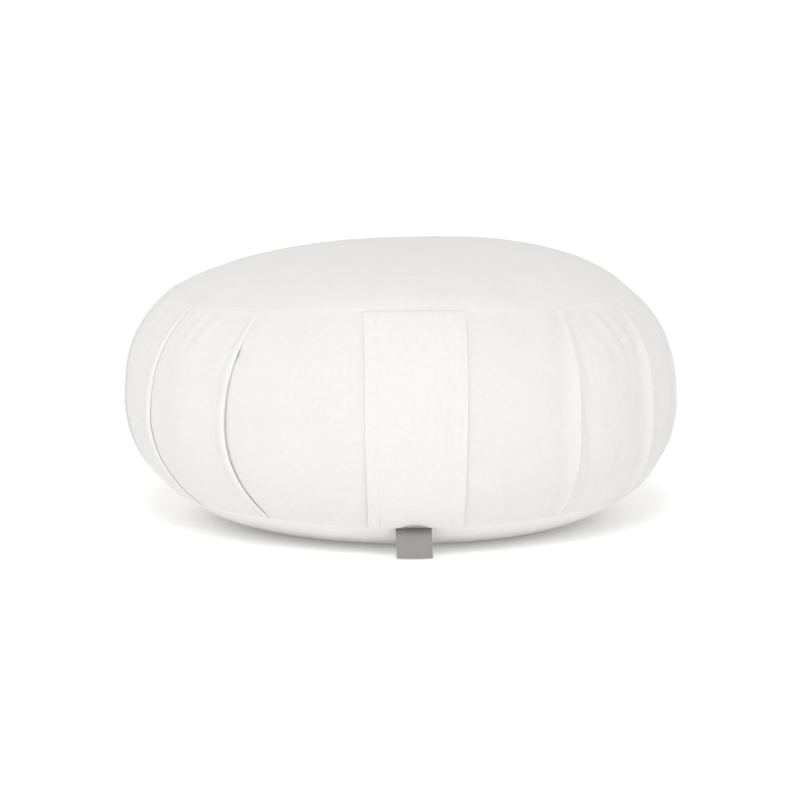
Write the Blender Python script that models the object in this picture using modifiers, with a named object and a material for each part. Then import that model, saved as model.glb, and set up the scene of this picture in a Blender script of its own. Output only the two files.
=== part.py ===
"""A round zafu meditation cushion: two round panels, a side band laid in knife pleats, a carrying strap and a tag.

Metres, +Z up. The cushion rests on z = 0 and the strap faces -Y. An azimuth is turned from the strap towards +X.
A station is a point (radius, height) of the outline that is turned about Z.
"""

import math
from collections import namedtuple

import bmesh
import bpy
from mathutils import Vector

# The stuffed cushion's outline
CUSHION_RADIUS = 0.179
CUSHION_HEIGHT = 0.180
WIDEST_HEIGHT = 0.079
TOP_SEAM_HEIGHT = 0.1479
BASE_SEAM_HEIGHT = 0.0203
CROWN_POWER = 2.63  # 2 would be an ellipse, and more is squarer at the shoulder
BELLY_POWER = 3.54
BELLY_DROP_POWER = 2.05
BELLY_CLOSES_BELOW = 0.0072  # how far under the floor the outline would meet the axis

# Cloth, and the air left between two pieces
CLOTH = 0.002
GAP = 0.0004
SHARPEST_SMOOTH_EDGE = math.radians(50)  # a keener edge is shaded as one

# How the filling has settled, away from a turned shape
CROWN_SHIFT = 0.020  # the crown's middle lies this far towards +X, so its slope is longer towards -X
BASE_SHIFT = 0.0040  # the underside stands this far towards +X
TOP_SWAG = 0.0031  # the seams lie further apart over the strap than at the folds beside it
BASE_SWAG = 0.0020
SWAG_AZIMUTH = math.radians(36)

# Knife pleats: a row for each fold, going round from the strap towards +X. azimuth is its place at the top seam and
# lean what is added to that at the base seam. depth scales the section below, bow is how far the folded edge is drawn
# back at mid-height, and puff is the rise of the cloth from it to the next fold.
Fold = namedtuple("Fold", "azimuth lean depth bow puff")
FOLDS = (
    Fold(azimuth=38.2, lean=-2.0, depth=0.85, bow=2.3, puff=0.0014),
    Fold(azimuth=62.3, lean=-1.2, depth=0.80, bow=2.5, puff=0.0016),
    Fold(azimuth=85.4, lean=-0.7, depth=1.00, bow=2.3, puff=0.0012),
    Fold(azimuth=108.7, lean=0.4, depth=0.90, bow=2.7, puff=0.0017),
    Fold(azimuth=132.4, lean=-0.6, depth=1.10, bow=2.4, puff=0.0013),
    Fold(azimuth=156.0, lean=0.5, depth=0.95, bow=2.2, puff=0.0015),
    Fold(azimuth=180.4, lean=-0.4, depth=1.05, bow=2.6, puff=0.0012),
    Fold(azimuth=203.4, lean=0.6, depth=0.85, bow=2.8, puff=0.0016),
    Fold(azimuth=228.1, lean=-0.5, depth=1.00, bow=2.3, puff=0.0014),
    Fold(azimuth=251.0, lean=0.7, depth=0.90, bow=2.5, puff=0.0016),
    Fold(azimuth=275.0, lean=0.4, depth=1.00, bow=2.4, puff=0.0013),
    Fold(azimuth=298.8, lean=0.8, depth=1.00, bow=2.6, puff=0.0015),
    Fold(azimuth=322.7, lean=1.0, depth=1.20, bow=2.5, puff=0.0),
)

# Section through a fold at mid-height. along runs round the band from the folded edge to the cloth that comes out
# from under it, under is drawn back below the edge, and out is the height above the outline.
FoldPoint = namedtuple("FoldPoint", "along under out")
FOLD_SECTION = (
    FoldPoint(along=-0.0240, under=0.0, out=0.0004),
    FoldPoint(along=-0.0150, under=0.0, out=-0.0008),  # soft valley behind the roll
    FoldPoint(along=-0.0085, under=0.0, out=0.0010),
    FoldPoint(along=-0.0040, under=0.0, out=0.0025),  # crest of the roll
    FoldPoint(along=-0.0010, under=0.0, out=0.0018),
    FoldPoint(along=0.0000, under=0.0, out=0.0004),  # the folded edge
    FoldPoint(along=0.0008, under=-0.0026, out=-0.0019),  # inside the fold
    FoldPoint(along=0.0022, under=0.0, out=-0.0028),
    FoldPoint(along=0.0065, under=0.0, out=-0.0012),
    FoldPoint(along=0.0130, under=0.0, out=0.0),
)
SEAM_DEPTH = 0.2  # share of a fold's height that is left where the seams press it flat
SEAM_WIDTH = 0.6  # and of its width
PLAIN_STEP = 0.0120  # spacing of the points round the band between two folds

# Carrying strap: its width at shares of the way down from the top seam to the base seam
StrapRow = namedtuple("StrapRow", "share width")
STRAP_ROWS = (
    StrapRow(share=0.0, width=0.0615),
    StrapRow(share=0.5, width=0.0610),
    StrapRow(share=1.0, width=0.0575),
)
STRAP_CLOTH = 0.0022
STRAP_END_CLOTH = 0.5  # share of its thickness where a seam takes it in
STRAP_END_GAP = 0.0003

# Tag: a loop of tape, pressed flat
TAG_WIDTH = 0.021
TAG_LENGTH = 0.0180
TAG_BELOW_SEAM = 0.0013
TAG_THICKNESS = 0.0014
TAG_FORWARD = 0.0016  # how far its free end hangs in front of the seam
TAG_OFF_CENTRE = -0.0022
TAG_EDGE_ROUND = 0.0004

# How finely each piece is cut
CROWN_ROWS = 7
CROWN_INNER_ROWS = 4
BAND_ROWS = 14
BASE_ROWS = 5
BASE_INNER_ROWS = 3
PANEL_COLUMNS = 90
NORMAL_STEP = 0.0001  # how far apart the outline is read to find its slope
STRAP_COLUMNS = 8
TAG_COLUMNS = 4
TAG_CELLS = 5

# Colours and roughness
NATURAL_COTTON = (0.88, 0.87, 0.84)
GREY_TAPE = (0.17, 0.17, 0.17)
COTTON_ROUGHNESS = 0.9
TAPE_ROUGHNESS = 0.8


def clamped(value):
    return min(1.0, max(0.0, value))


# The outline


def outline_radius(height):
    """The cushion's radius at a height of the side or the underside."""
    if height >= WIDEST_HEIGHT:
        rise = (height - WIDEST_HEIGHT) / (CUSHION_HEIGHT - WIDEST_HEIGHT)
        return CUSHION_RADIUS * (1 - rise**CROWN_POWER) ** (1 / CROWN_POWER)
    drop = (WIDEST_HEIGHT - height) / (WIDEST_HEIGHT + BELLY_CLOSES_BELOW)
    return CUSHION_RADIUS * (1 - drop**BELLY_DROP_POWER) ** (1 / BELLY_POWER)


def crown_height(radius):
    """The height of the upper half at a distance from the axis."""
    rise = (1 - (radius / CUSHION_RADIUS) ** CROWN_POWER) ** (1 / CROWN_POWER)
    return WIDEST_HEIGHT + (CUSHION_HEIGHT - WIDEST_HEIGHT) * rise


def side_normal(height):
    """The direction (radius, height) that points straight out of the side or the underside."""
    widening = outline_radius(height + NORMAL_STEP) - outline_radius(height - NORMAL_STEP)
    return Vector((2 * NORMAL_STEP, -widening)).normalized()


def crown_normal(radius):
    fall = crown_height(abs(radius - NORMAL_STEP)) - crown_height(radius + NORMAL_STEP)
    return Vector((fall, 2 * NORMAL_STEP)).normalized()


TOP_SEAM_RADIUS = outline_radius(TOP_SEAM_HEIGHT)


def crown_stations(rows):
    """From the crown's middle to the top seam, closer together towards the seam."""
    radii = [TOP_SEAM_RADIUS * math.sin(math.pi / 2 * row / rows) for row in range(rows + 1)]
    return [Vector((radius, crown_height(radius))) for radius in radii]


def band_height(share):
    """The height at a share of the way down from the top seam to the base seam, slower near the seams."""
    fall = (1 - math.cos(math.pi * share)) / 2
    return TOP_SEAM_HEIGHT + (BASE_SEAM_HEIGHT - TOP_SEAM_HEIGHT) * fall


def band_stations(rows):
    heights = [band_height(row / rows) for row in range(rows + 1)]
    return [Vector((outline_radius(height), height)) for height in heights]


def base_stations(rows):
    """From the base seam to the edge of the flat underside."""
    heights = [BASE_SEAM_HEIGHT * (1 - row / rows) ** 1.5 for row in range(rows + 1)]
    return [Vector((outline_radius(height), height)) for height in heights]


def inside_crown(rows, depth):
    return [station - depth * crown_normal(station.x) for station in crown_stations(rows)]


def inside_base(rows, depth):
    return [station - depth * side_normal(station.y) for station in base_stations(rows)]


def eased_end(stations):
    """The stations with the last one drawn back along the outline by the gap."""
    back = (stations[-2] - stations[-1]).normalized()
    return stations[:-1] + [stations[-1] + GAP * back]


# Turned pieces


def turned(name, stations, columns):
    """A mesh of the stations turned about Z in even columns, the first of them towards +X."""
    profile = bpy.data.meshes.new(name + "_profile")
    edges = [(index, index + 1) for index in range(len(stations) - 1)]
    profile.from_pydata([(station.x, 0, station.y) for station in stations], edges, [])
    guide = bpy.data.objects.new(name + "_guide", profile)
    bpy.context.scene.collection.objects.link(guide)
    turn = guide.modifiers.new("Turn", "SCREW")
    turn.steps = columns
    turn.render_steps = columns
    turn.use_merge_vertices = True
    turn.merge_threshold = 0.00001
    graph = bpy.context.evaluated_depsgraph_get()
    mesh = bpy.data.meshes.new_from_object(guide.evaluated_get(graph))
    mesh.name = name
    bpy.data.objects.remove(guide)
    return mesh


def at_azimuth(radius, azimuth, height):
    return Vector((radius * math.sin(azimuth), -radius * math.cos(azimuth), height))


def seam_swag(azimuth):
    """How far the seams part at an azimuth, as a share of the most: 1 over the strap, 0 beyond the folds beside it."""
    return math.cos(math.pi / 2 * clamped(abs(azimuth) / SWAG_AZIMUTH))


def settled(point):
    """Where a point of the evenly stuffed cushion lies once the filling has settled."""
    from_axis = min(1.0, math.hypot(point.x, point.y) / TOP_SEAM_RADIUS)
    upper = clamped((point.z - WIDEST_HEIGHT) / (TOP_SEAM_HEIGHT - WIDEST_HEIGHT))
    lower = clamped((WIDEST_HEIGHT - point.z) / (WIDEST_HEIGHT - BASE_SEAM_HEIGHT))
    swag = seam_swag(math.atan2(point.x, -point.y))
    rise = TOP_SWAG * swag * upper**2 * from_axis**3
    rise -= BASE_SWAG * swag * lower**2 * clamped(point.z / BASE_SEAM_HEIGHT)
    shift = CROWN_SHIFT * upper * (1 - from_axis**2)
    shift += BASE_SHIFT * clamped(1 - point.z / WIDEST_HEIGHT) ** 1.5
    return Vector((point.x + shift, point.y, point.z + rise))


def settle(mesh):
    for vertex in mesh.vertices:
        vertex.co = settled(vertex.co)


# Knife pleats

Column = namedtuple("Column", "azimuth lean along under out puff bow")


def band_columns():
    """The band's columns of points in order round the cushion, from the fold after the strap."""
    columns = []
    for fold, following in zip(FOLDS, FOLDS[1:] + FOLDS[:1]):
        start = math.radians(fold.azimuth)
        span = math.radians((following.azimuth - fold.azimuth) % 360)
        for point in FOLD_SECTION:
            out = point.out * fold.depth
            columns.append(Column(start, fold.lean, point.along, point.under, out, 0.0, fold.bow))
        first, last = FOLD_SECTION[-1].along, FOLD_SECTION[0].along
        count = round((span * CUSHION_RADIUS + last - first) / PLAIN_STEP)
        for step in range(1, count):
            share = step / count
            along = first + (last - first) * share
            puff = fold.puff * math.sin(math.pi * share)
            lean = fold.lean + (following.lean - fold.lean) * share
            bow = fold.bow + (following.bow - fold.bow) * share
            columns.append(Column(start + span * share, lean, along, 0.0, 0.0, puff, bow))
    return columns


def lay_pleats(mesh, columns):
    """Moves the evenly turned points to the columns of the pleats, deepest half-way down the band."""
    for vertex in mesh.vertices:
        radius = math.hypot(vertex.co.x, vertex.co.y)
        height = vertex.co.z
        if radius < CLOTH:
            continue
        turn = math.atan2(vertex.co.y, vertex.co.x) / math.tau
        column = columns[round(turn * len(columns)) % len(columns)]
        on_band = radius > outline_radius(height) - CLOTH / 2
        share = clamped((TOP_SEAM_HEIGHT - height) / (TOP_SEAM_HEIGHT - BASE_SEAM_HEIGHT))
        opening = math.sin(math.pi * share) if on_band else 0.0
        along = column.along * (SEAM_WIDTH + (1 - SEAM_WIDTH) * opening) + column.under * opening
        drawn_back = column.bow * opening - column.lean * share
        azimuth = column.azimuth + along / CUSHION_RADIUS - math.radians(drawn_back)
        station = Vector((radius, height))
        if on_band:
            out = column.out * (SEAM_DEPTH + (1 - SEAM_DEPTH) * opening) + column.puff * opening
            station += out * side_normal(height)
        vertex.co = at_azimuth(station.x, azimuth, station.y)


# Objects


def cloth_material(name, colour, roughness):
    material = bpy.data.materials.new(name)
    material.use_nodes = True
    shader = material.node_tree.nodes["Principled BSDF"]
    shader.inputs["Base Color"].default_value = (*colour, 1)
    shader.inputs["Roughness"].default_value = roughness
    shader.inputs["Metallic"].default_value = 0
    return material


def add_piece(name, mesh, material):
    mesh.materials.clear()
    mesh.materials.append(material)
    mesh.shade_smooth()
    mesh.set_sharp_from_angle(angle=SHARPEST_SMOOTH_EDGE)
    piece = bpy.data.objects.new(name, mesh)
    zafu.objects.link(piece)
    return piece


def make_side_band():
    """The one filled solid: the pleated band, and the filling up to the undersides of the two panels."""
    depth = CLOTH + GAP
    crown = inside_crown(CROWN_INNER_ROWS, depth)
    base = inside_base(BASE_INNER_ROWS, depth)
    band = band_stations(BAND_ROWS)
    band = eased_end(eased_end(band)[::-1])[::-1]
    # Both panels' edges lie a gap away from the ledges between the band and the filling.
    crown[-1] += GAP * (band[1] - band[0]).normalized()
    base[0] += GAP * (band[-2] - band[-1]).normalized()
    floor = Vector((0, base[-1].y))
    columns = band_columns()
    mesh = turned("side_band", crown + band + base + [floor], len(columns))
    lay_pleats(mesh, columns)
    settle(mesh)
    return add_piece("side_band", mesh, cloth_material("band_cotton", NATURAL_COTTON, COTTON_ROUGHNESS))


def make_top_panel():
    outer = crown_stations(CROWN_ROWS)
    inner = inside_crown(CROWN_INNER_ROWS, CLOTH)
    mesh = turned("top_panel", outer + inner[::-1], PANEL_COLUMNS)
    settle(mesh)
    return add_piece("top_panel", mesh, cloth_material("top_cotton", NATURAL_COTTON, COTTON_ROUGHNESS))


def make_base_panel():
    outer = base_stations(BASE_ROWS)
    inner = inside_base(BASE_INNER_ROWS, CLOTH)
    above = [Vector((0, inner[-1].y))] + inner[::-1]
    mesh = turned("base_panel", above + outer + [Vector((0, 0))], PANEL_COLUMNS)
    settle(mesh)
    return add_piece("base_panel", mesh, cloth_material("base_cotton", NATURAL_COTTON, COTTON_ROUGHNESS))


def laid_grid(name, columns, cells, place):
    """An open sheet whose points are placed by a function of the shares across and down."""
    mesh = bpy.data.meshes.new(name)
    sheet = bmesh.new()
    bmesh.ops.create_grid(sheet, x_segments=columns, y_segments=cells, size=0.5)
    for vertex in sheet.verts:
        vertex.co = settled(place(vertex.co.x, 0.5 - vertex.co.y))
    sheet.to_mesh(mesh)
    sheet.free()
    return mesh


def strap_width(share):
    """A smooth curve through the three rows of the strap's table."""
    top, middle, base = (row.width for row in STRAP_ROWS)
    return top * (1 - share) * (1 - 2 * share) + 4 * middle * share * (1 - share) + base * share * (2 * share - 1)


def on_strap(across, share):
    """A point of the strap's underside; across runs from -0.5 to 0.5 and share from the top end to the base end."""
    height = min(TOP_SEAM_HEIGHT - STRAP_END_GAP, max(BASE_SEAM_HEIGHT + STRAP_END_GAP, band_height(share)))
    station = Vector((outline_radius(height), height)) + GAP * side_normal(height)
    return at_azimuth(station.x, across * strap_width(share) / station.x, station.y)


def make_carry_strap():
    mesh = laid_grid("carry_strap", STRAP_COLUMNS, BAND_ROWS, on_strap)
    piece = add_piece("carry_strap", mesh, cloth_material("strap_cotton", NATURAL_COTTON, COTTON_ROUGHNESS))
    full = piece.vertex_groups.new(name="full_thickness")
    low = BASE_SEAM_HEIGHT + 2 * STRAP_END_GAP
    high = TOP_SEAM_HEIGHT - 2 * STRAP_END_GAP
    for vertex in mesh.vertices:
        if low < vertex.co.z < high:
            full.add([vertex.index], 1.0, "REPLACE")
    cloth = piece.modifiers.new("Cloth", "SOLIDIFY")
    cloth.thickness = STRAP_CLOTH
    cloth.offset = 1
    cloth.vertex_group = full.name
    cloth.thickness_vertex_group = STRAP_END_CLOTH
    return piece


def on_tag(across, share):
    """A point of the tag's back; share runs from the seam down to its free end."""
    radius = outline_radius(BASE_SEAM_HEIGHT) + GAP
    forward = TAG_FORWARD * share**2
    return Vector(
        (
            TAG_OFF_CENTRE + across * TAG_WIDTH,
            -radius - forward,
            BASE_SEAM_HEIGHT - TAG_BELOW_SEAM - TAG_LENGTH * share,
        )
    )


def make_side_tag():
    mesh = laid_grid("side_tag", TAG_COLUMNS, TAG_CELLS, on_tag)
    piece = add_piece("side_tag", mesh, cloth_material("grey_tape", GREY_TAPE, TAPE_ROUGHNESS))
    cloth = piece.modifiers.new("Cloth", "SOLIDIFY")
    cloth.thickness = TAG_THICKNESS
    cloth.offset = 1
    edge = piece.modifiers.new("Rounded edge", "BEVEL")
    edge.width = TAG_EDGE_ROUND
    edge.segments = 2
    edge.limit_method = "ANGLE"
    edge.angle_limit = SHARPEST_SMOOTH_EDGE
    return piece


for old in list(bpy.data.objects):
    bpy.data.objects.remove(old)

zafu = bpy.data.collections.new("zafu_cushion")
bpy.context.scene.collection.children.link(zafu)

make_side_band()
make_top_panel()
make_base_panel()
make_carry_strap()
make_side_tag()
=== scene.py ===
import math
import random

import bmesh
import bpy
import numpy as np
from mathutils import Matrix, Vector, noise


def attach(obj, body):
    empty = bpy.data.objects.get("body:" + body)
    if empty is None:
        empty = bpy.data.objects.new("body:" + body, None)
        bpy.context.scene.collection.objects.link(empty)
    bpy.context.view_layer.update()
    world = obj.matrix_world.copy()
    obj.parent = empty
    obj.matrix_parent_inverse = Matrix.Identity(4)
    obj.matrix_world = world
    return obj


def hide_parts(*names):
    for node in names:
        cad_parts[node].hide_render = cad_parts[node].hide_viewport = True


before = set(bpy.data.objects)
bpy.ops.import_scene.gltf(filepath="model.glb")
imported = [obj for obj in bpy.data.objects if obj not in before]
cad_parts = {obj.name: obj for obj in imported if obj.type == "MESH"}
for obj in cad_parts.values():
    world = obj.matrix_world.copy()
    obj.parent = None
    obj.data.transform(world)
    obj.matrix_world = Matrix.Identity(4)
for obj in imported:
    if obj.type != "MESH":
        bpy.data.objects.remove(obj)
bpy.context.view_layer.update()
print("frame loaded:", ", ".join(sorted(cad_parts)))

# Metres. The cushion rests on z = 0 and its strap faces -Y. An azimuth is turned from the strap towards
# +X, and a share runs down the side from the top seam to the base seam.

cushion = {
    "radius": 0.179,
    "height": 0.180,
    "widestHeight": 0.079,
    "topSeam": 0.1479,
    "baseSeam": 0.0203,
    "crownPower": 2.63,  # 2 would be an ellipse, more is squarer at the shoulder
    "bellyPower": 3.54,
    "bellyDropPower": 2.05,
    "bellyClosesBelow": 0.0072,
    "crownShift": 0.020,  # how far the filling has settled towards +X
    "baseShift": 0.0040,
    "topSwag": 0.0031,  # the seams part over the strap
    "baseSwag": 0.0020,
    "swagAzimuth": math.radians(36),
    "cloth": 0.002,
}
widestHeight = cushion["widestHeight"]
topSeam, baseSeam = cushion["topSeam"], cushion["baseSeam"]


# The outline, worked out for whole arrays of points


def outlineRadius(height):
    above = cushion["height"] - widestHeight
    below = widestHeight + cushion["bellyClosesBelow"]
    rise = np.clip((height - widestHeight) / above, 0, 1)
    drop = np.clip((widestHeight - height) / below, 0, 1)
    crown = (1 - rise ** cushion["crownPower"]) ** (1 / cushion["crownPower"])
    belly = (1 - drop ** cushion["bellyDropPower"]) ** (1 / cushion["bellyPower"])
    return cushion["radius"] * np.where(height >= widestHeight, crown, belly)


def crownHeight(radius):
    share = np.clip(radius / cushion["radius"], 0, 1)
    rise = (1 - share ** cushion["crownPower"]) ** (1 / cushion["crownPower"])
    return widestHeight + (cushion["height"] - widestHeight) * rise


# Unit directions out of a row of (radius, height) stations that runs from the axis outwards and down
def outwardOf(stations):
    along = np.gradient(stations, axis=0)
    along /= np.linalg.norm(along, axis=1, keepdims=True)
    return np.stack([-along[:, 1], along[:, 0]], axis=1)


def arcLengths(stations):
    steps = np.linalg.norm(np.diff(stations, axis=0), axis=1)
    return np.concatenate([[0], np.cumsum(steps)])


# Where points of the evenly stuffed cushion lie once its filling has settled
def settled(points):
    x, y, z = points[..., 0], points[..., 1], points[..., 2]
    fromAxis = np.minimum(1, np.hypot(x, y) / topSeamRadius)
    upper = np.clip((z - widestHeight) / (topSeam - widestHeight), 0, 1)
    lower = np.clip((widestHeight - z) / (widestHeight - baseSeam), 0, 1)
    swag = np.cos(math.pi / 2 * np.clip(np.abs(np.arctan2(x, -y)) / cushion["swagAzimuth"], 0, 1))
    rise = cushion["topSwag"] * swag * upper**2 * fromAxis**3
    rise -= cushion["baseSwag"] * swag * lower**2 * np.clip(z / baseSeam, 0, 1)
    shift = cushion["crownShift"] * upper * (1 - fromAxis**2)
    shift += cushion["baseShift"] * np.clip(1 - z / widestHeight, 0, 1) ** 1.5
    return np.stack([x + shift, y, z + rise], axis=-1)


def evenAzimuths(count):
    return np.arange(count) / count * math.tau


def atAzimuth(radius, azimuth, height):
    parts = np.broadcast_arrays(radius * np.sin(azimuth), -radius * np.cos(azimuth), height)
    return np.stack(parts, axis=-1)


def outlineAt(height):
    return np.stack([outlineRadius(height), height], axis=1)


# Points at azimuths that rise off a profile of stations
def offProfile(stations, azimuth, rise):
    out = outwardOf(stations)
    return atAzimuth(stations[:, :1] + rise * out[:, :1], azimuth, stations[:, 1:] + rise * out[:, 1:])


# Smooth noise from -1 to 1 that changes over about the given size
def wander(points, size, seed):
    scaled = points.reshape(-1, 3) / size + np.array([seed, -seed, seed / 2])
    return np.array([noise.noise(Vector(point)) for point in scaled]).reshape(points.shape[:-1])


def signedTurn(azimuth):
    return (azimuth + math.pi) % math.tau - math.pi


def smoothStep(part):
    part = np.clip(part, 0, 1)
    return part * part * (3 - 2 * part)


def bell(offset):
    return np.exp(-(offset**2))


topSeamRadius = float(outlineRadius(topSeam))
baseSeamRadius = float(outlineRadius(baseSeam))


# The relief of the cloth

relief = {
    "seamDepth": 0.00012,  # the seams pull the cloth in
    "seamWidth": 0.0005,
    # paler wear and painted highlight along a seam
    "seamWearAndHighlight": 0.5,
    "seamWearAndHighlightWidth": 0.0012,
    "allowanceRise": 0.00045,  # the turned-in edges lie behind the cloth beside the seam
    "allowanceAt": 0.0010,
    "allowanceWidth": 0.0026,
    "puckerReach": 0.014,
    "pucker": (0.00014, 0.009, 3.1),  # height, size and seed
    "bag": (0.00070, 0.060, 7.7),  # broad unevenness of the filling
    "limp": (0.00022, 0.016, 5.3),
    "crinkle": (0.00006, 0.005, 2.9),
    "creasePeak": 0.7,  # under 1 a crease is deepest nearer its start
    "creaseEnds": 1.2,  # over 1 its ends run out more softly
    "rollRise": 0.0021,  # over the strap the top panel rolls over to its seam
    "rollAt": 0.012,
    "rollOver": 55,  # degrees from the strap
    "floorFlat": 0.004,  # up to this height the floor presses the cloth flat
    "metreRadius": 0.165,  # the mean radius, for distances round the side
    "sideLength": 0.150,
}

# A crease is a soft ridge, or below 0 a trough, between two places of the side: both as degrees from the
# strap and a share, then its width, depth and bend in millimetres
creases = [
    ((-45.8, 0.02), (-48.6, 0.22), 2.0, -1.10, -1.2),
    ((-48.2, 0.02), (-51.0, 0.20), 1.9, 1.35, -1.2),
    ((-50.4, 0.01), (-54.2, 0.24), 1.8, -1.20, -1.4),
    ((-52.6, 0.01), (-56.6, 0.27), 1.7, 1.25, -1.4),
    ((-54.8, 0.01), (-58.4, 0.22), 1.6, -0.95, -1.0),
    ((-57.0, 0.02), (-60.0, 0.16), 1.5, 0.50, -0.8),
    ((-39.6, 0.03), (-42.6, 0.40), 2.6, -0.95, -0.8),
    ((41.0, 0.01), (45.8, 0.34), 2.4, 0.85, 1.0),
    ((43.8, 0.02), (47.8, 0.30), 1.9, -0.55, 1.0),
    ((46.6, 0.01), (50.8, 0.33), 2.0, 0.75, 1.0),
    ((49.3, 0.01), (53.2, 0.34), 1.8, -0.60, 1.0),
    ((52.0, 0.01), (55.6, 0.30), 1.9, 0.70, 0.9),
    ((54.6, 0.02), (57.4, 0.22), 1.7, -0.60, 0.7),
    ((38.4, 0.03), (38.0, 0.52), 2.8, -0.85, -1.5),
    ((35.9, 0.38), (38.8, 0.78), 1.9, -1.70, 0.7),
    ((39.6, 0.30), (41.2, 0.84), 3.2, 0.90, 0.8),
    ((46.0, 0.40), (47.5, 0.95), 4.5, -0.45, 1.5),
    ((-55.0, 0.45), (-57.0, 0.96), 4.5, -0.40, -1.5),
    ((-26.0, 0.55), (-30.5, 0.97), 4.5, 0.35, -1.5),
    ((24.0, 0.50), (30.0, 0.98), 4.5, -0.35, 1.5),
    ((-33.5, 0.99), (-31.0, 0.80), 2.0, 0.50, 0.6),
    ((31.0, 0.99), (30.0, 0.82), 2.0, -0.45, 0.6),
]

fan = {
    "creases": 4,
    "first": 3.5,  # degrees from a fold
    "step": 4.6,
    "spread": 1.2,
    "reach": (0.10, 0.26),
    "slant": (-1.5, 3.0),
    "width": (1.7, 2.8),
    "depth": (0.45, 0.95),
    "bend": (-0.8, 0.8),
}


# Short creases that run from a seam into the cloth between two folds
def fanCreases(azimuths, share, towards, seed):
    draw = random.Random(seed)
    made = []
    for azimuth in azimuths:
        for order in range(fan["creases"]):
            start = azimuth + fan["first"] + fan["step"] * order + draw.uniform(-fan["spread"], fan["spread"])
            reach = towards * draw.uniform(*fan["reach"])
            end = start + draw.uniform(*fan["slant"])
            width = draw.uniform(*fan["width"])
            depth = draw.choice((-1, 1)) * draw.uniform(*fan["depth"])
            made.append(((start, share), (end, share + reach), width, depth, draw.uniform(*fan["bend"])))
    return made


def onSide(degrees, share):
    return np.array([math.radians(degrees) * relief["metreRadius"], share * relief["sideLength"]])


# The rise of all creases at azimuths in radians and shares
def creaseRelief(azimuth, share, made):
    across = azimuth * relief["metreRadius"]
    down = share * relief["sideLength"]
    rise = np.zeros(np.broadcast(azimuth, share).shape)
    for first, last, width, depth, bend in made:
        start, end = onSide(*first), onSide(*last)
        length = np.linalg.norm(end - start)
        ahead = (end - start) / length
        run = ((across - start[0]) * ahead[0] + (down - start[1]) * ahead[1]) / length
        beside = (across - start[0]) * ahead[1] - (down - start[1]) * ahead[0]
        inside = np.clip(run, 0, 1)
        beside = beside - bend / 1000 * 4 * inside * (1 - inside)
        swell = np.sin(math.pi * inside ** relief["creasePeak"]) ** relief["creaseEnds"]
        strength = np.where((run > 0) & (run < 1), swell, 0)
        rise += depth / 1000 * strength * bell(beside * 1000 / width)
    return rise


# How a seam at arc 0 shapes the cloth beside it
def seamRelief(arc):
    groove = relief["seamDepth"] * bell(arc / relief["seamWidth"])
    offset = (arc - relief["allowanceAt"]) / relief["allowanceWidth"]
    return relief["allowanceRise"] * bell(offset) - groove


# Along a seam the cloth is painted paler, partly wear of its stretched edge and partly painted highlight,
# which painted shading below 0 stands for
def seamWearAndHighlight(arc):
    return -relief["seamWearAndHighlight"] * bell(arc / relief["seamWearAndHighlightWidth"])


# Puckers near a seam and the unevenness of the filling; arc is the distance to the nearest seam
def clothRelief(points, arc):
    kinds = [relief[kind] for kind in ("pucker", "bag", "limp", "crinkle")]
    pucker, bag, limp, crinkle = (height * wander(points, size, seed) for height, size, seed in kinds)
    distance = (arc / relief["puckerReach"]) ** 2
    return pucker * np.exp(-distance) + (bag + limp) * (1 - np.exp(-distance / 2)) + crinkle


# A bare trial cover, cut a little too large, is blown up. Its puckers go into the relief of the band, the
# strap and both panels.

cover = {
    "step": 0.0042,
    "from": 0.55,  # share of the top seam's radius where it begins
    "readAt": (200, 400, 100),  # places at which the crown, the side and the underside are read
    "frames": 30,
    "roughStart": 0.00005,
    "seed": 3,
    "fadeRows": 9,
    "taken": 0.75,  # how much of its puckers is taken over
    "most": 0.0014,
    "calmFrom": 80,  # degrees from the strap up to which other creases shape the cloth instead
    "calmOver": 40,
    "calm": 0.25,
}
coverSettings = {
    "quality": 5,
    "mass": 0.3,
    "tension_stiffness": 40.0,
    "compression_stiffness": 40.0,
    "shear_stiffness": 13.0,
    "bending_stiffness": 5.0,
    "use_pressure": True,
    "uniform_pressure_force": 6.0,
    "shrink_min": -0.010,  # below 0 the cloth grows by this share
}


def evenlySpaced(stations):
    arc = arcLengths(stations)
    spots = np.linspace(0, arc[-1], round(arc[-1] / cover["step"]) + 1)
    return np.stack([np.interp(spots, arc, places) for places in stations.T], axis=1)


def coverProfile():
    crownCount, sideCount, lowCount = cover["readAt"]
    radii = np.linspace(cover["from"], 1, crownCount) * topSeamRadius
    upper = evenlySpaced(np.stack([radii, crownHeight(radii)], axis=1))
    side = evenlySpaced(outlineAt(np.linspace(topSeam, baseSeam, sideCount)))
    lower = evenlySpaced(outlineAt(np.linspace(baseSeam, 0, lowCount)))
    topRow = len(upper) - 1
    return np.concatenate([upper, side[1:], lower[1:]]), topRow, topRow + len(side) - 1


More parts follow.
